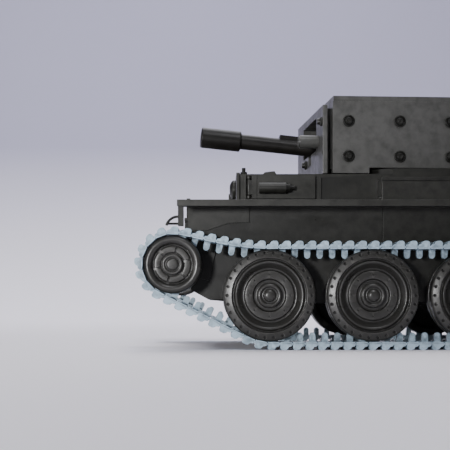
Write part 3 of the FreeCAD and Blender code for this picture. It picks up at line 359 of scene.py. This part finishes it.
# Outlines as (radius, y) corners in millimetres; y = 0 is between the halves.
WHEEL = [
    (0, -4.9), (0.8, -4.85), (1.4, -4.6), (1.65, -4.1), (2.1, -4.1), (2.25, -4.5),
    (2.7, -4.6), (3.1, -4.3), (3.2, -3), (4.1, -3), (4.3, -3.75), (6.3, -3.75), (6.5, -2.9),
    (7.1, -2.9), (8.3, -4.4), (8.7, -4.5), (9.2, -3.8), (9.5, -3.8), (9.65, -4.85),
    (11.5, -4.35), (11.82, -4), (11.82, -1.1), (9.2, -1.1), (8.6, -2.1), (3.4, -2.1),
    (3.4, 2.1), (8.6, 2.1), (9.2, 1.1), (11.82, 1.1), (11.82, 4.2), (11.35, 4.7), (9.8, 4.6),
    (9.2, 3.9), (4.6, 3.4), (3.6, 4.4), (1.28, 4.4), (1.28, -3.9), (0, -3.9),
]
IDLER = [
    (0, -4.5), (1.2, -4.5), (1.5, -4.3), (1.6, -3.8), (1.9, -3.8), (2, -4.15), (2.6, -4.15),
    (2.7, -2.9), (3, -2.9), (3.05, -3.7), (4.7, -3.7), (4.85, -2.9), (5.2, -2.9), (5.4, -4.2),
    (5.9, -4.6), (6.5, -4.7), (7.1, -4.45), (7.5, -3.9), (7.5, -1.1), (6.2, -1.1), (5.6, -2),
    (3.2, -2), (3.2, 2), (5.6, 2), (6.2, 1.1), (7.5, 1.1), (7.5, 4.1), (7, 4.6), (5.7, 4.6),
    (5.3, 3.2), (3.6, 3.2), (3.2, 4.4), (1.28, 4.4), (1.28, -3.9), (0, -3.9),
]
wheel_mesh = carved("wheel", lathe("wheel", WHEEL, 112, 0.22), [
    ("DIFFERENCE", studs("holes", 30, 10.9, 0.44, -5, -3.6)),
    ("DIFFERENCE", studs("dimples", 8, 5.4, 0.27, -4, -3.4)),
])
idler_mesh = carved("idler", lathe("idler", IDLER, 96, 0.3), [
    ("DIFFERENCE", bars("grooves", 6, 2.8, 4.95, 0.34, -4, -2.92)),
])


WHEEL_HUB = 4.9
IDLER_HUB = 4.7
IDLER_TURN = -15


def fit_wheel(name, mesh, hub, turn):
    """Put a smooth wheel where the CAD's wheel is.  It stands out from its own middle by the
    length hub, in millimetres."""
    low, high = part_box(name)
    middle = (low + high) / 2
    made = bpy.data.objects.new("smooth_" + name, mesh)
    if middle.y < 0:
        made.location = (middle.x, low.y + hub * MM, middle.z)
        made.rotation_euler = (0, math.radians(turn), 0)
    else:
        made.location = (middle.x, high.y - hub * MM, middle.z)
        made.rotation_euler = (0, math.radians(-turn), math.pi)
    bpy.context.scene.collection.objects.link(made)
    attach(made, name + "_body")
    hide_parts(name)


for side in ("left", "right"):
    fit_wheel("idler_" + side, idler_mesh, IDLER_HUB, IDLER_TURN)
    for number in range(1, 6):
        fit_wheel(f"road_wheel_{side}_{number}", wheel_mesh, WHEEL_HUB, 0)

# Studio --------------------------------------------------------------------------------------

# Painted light and shade: the paper's colour is painted nearly white at the floor, where the
# light pools, and greyer further up the wall, where it falls off.
PAPER_LIT_FLOOR = (0.97, 0.945, 1.0)
PAPER_SHADED_WALL = ((0.36, 0.352, 0.465), (0.38, 0.372, 0.485))
PAPER_SHADE_HEIGHT = 0.16

studio = Shader("studio_paper")
cloudy = studio.mix(studio.spread(studio.noise(3, 2), 0.3, 0.7), *PAPER_SHADED_WALL)
painted_light_shade = studio.mix(studio.spread(studio.height(), 0.0, PAPER_SHADE_HEIGHT), PAPER_LIT_FLOOR, cloudy)
studio.join(painted_light_shade, studio.surface.inputs["Base Color"])
studio.surface.inputs["Roughness"].default_value = 0.75
studio.surface.inputs["Specular IOR Level"].default_value = 0.2


def backdrop():
    """A floor that curves up into a wall behind the model."""
    floor_z = cad_low.z - 0.02 * MM
    bend, wall_y, top = 0.35, 0.9, 1.6
    profile = [(-1.6, floor_z), (wall_y - bend, floor_z)]
    for step in range(1, 17):
        angle = math.radians(90 * step / 16)
        profile.append((wall_y - bend + bend * math.sin(angle),
                        floor_z + bend - bend * math.cos(angle)))
    profile.append((wall_y, top))
    points = [(x, y, z) for x in (-2.0, 2.0) for y, z in profile]
    count = len(profile)
    faces = [(n, n + count, n + count + 1, n + 1) for n in range(count - 1)]
    mesh = bpy.data.meshes.new("backdrop")
    mesh.from_pydata(points, [], faces)
    mesh.shade_smooth()
    made = bpy.data.objects.new("backdrop", mesh)
    bpy.context.scene.collection.objects.link(made)
    made.data.materials.append(studio.material)


def hang(name, lamp, place, aim):
    """Hang a lamp at a place, so that it shines at another."""
    made = bpy.data.objects.new(name, lamp)
    made.location = place
    made.rotation_mode = "QUATERNION"
    made.rotation_quaternion = (Vector(aim) - Vector(place)).to_track_quat("-Z", "Y")
    bpy.context.scene.collection.objects.link(made)


def area_light(name, place, aim, size, watts, colour):
    lamp = bpy.data.lights.new(name, "AREA")
    lamp.shape = "DISK"
    lamp.size = size
    lamp.energy = watts
    lamp.color = colour
    hang(name, lamp, place, aim)


def spot_light(name, place, aim, degrees, soft, watts):
    lamp = bpy.data.lights.new(name, "SPOT")
    lamp.energy = watts
    lamp.spot_size = math.radians(degrees)
    lamp.spot_blend = 1.0
    lamp.shadow_soft_size = soft
    hang(name, lamp, place, aim)


backdrop()
WARM = (1.0, 0.99, 0.97)
COOL = (0.96, 0.96, 1.0)
area_light("key", (-0.30, -0.60, 0.07), (-0.04, -0.02, 0.03), 0.12, 0.3, WARM)
area_light("left", (-0.75, -0.22, 0.10), (-0.05, -0.02, 0.03), 0.3, 1.15, WARM)
area_light("sky", (0.02, -0.45, 0.65), (-0.02, -0.02, 0.04), 0.3, 2.2, COOL)
area_light("top", (-0.15, -0.1, 0.85), (-0.02, 0, 0.03), 0.6, 0.8, COOL)
area_light("fill", (0.55, -0.75, 0.35), (0, 0, 0.03), 0.6, 0.1, COOL)
area_light("floor", (-0.1, 0.62, 0.7), (-0.1, 0.64, 0.0), 0.6, 3.0, COOL)
area_light("wall", (-0.1, 0.35, 0.9), (0.0, 0.9, 0.15), 0.8, 6.0, COOL)
# The nose is lit more than the middle of the hull.
spot_light("nose", (-0.33, -0.73, 0.075), (-0.072, -0.03, 0.034), 13, 0.05, 22.0)

world = bpy.data.worlds.new("studio")
world.use_nodes = True
world.node_tree.nodes["Background"].inputs["Color"].default_value = (0.86, 0.87, 0.93, 1.0)
world.node_tree.nodes["Background"].inputs["Strength"].default_value = 0.12
bpy.context.scene.world = world

# Camera: level, square to the left side and at hub height, with the frame moved up and over.
CAMERA_X = -68.55
CAMERA_Z = 11.8
CAMERA_FAR = 330
wheel_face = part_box("road_wheel_left_1")[0].y
lens = bpy.data.cameras.new("camera")
lens.sensor_width = 36.0
lens.lens = 103.0
lens.shift_x = 0.0111
lens.shift_y = 0.1756
camera = bpy.data.objects.new("camera", lens)
camera.location = (CAMERA_X * MM, wheel_face - CAMERA_FAR * MM, CAMERA_Z * MM)
camera.rotation_euler = (math.radians(90), 0, 0)
bpy.context.scene.collection.objects.link(camera)
bpy.context.scene.camera = camera
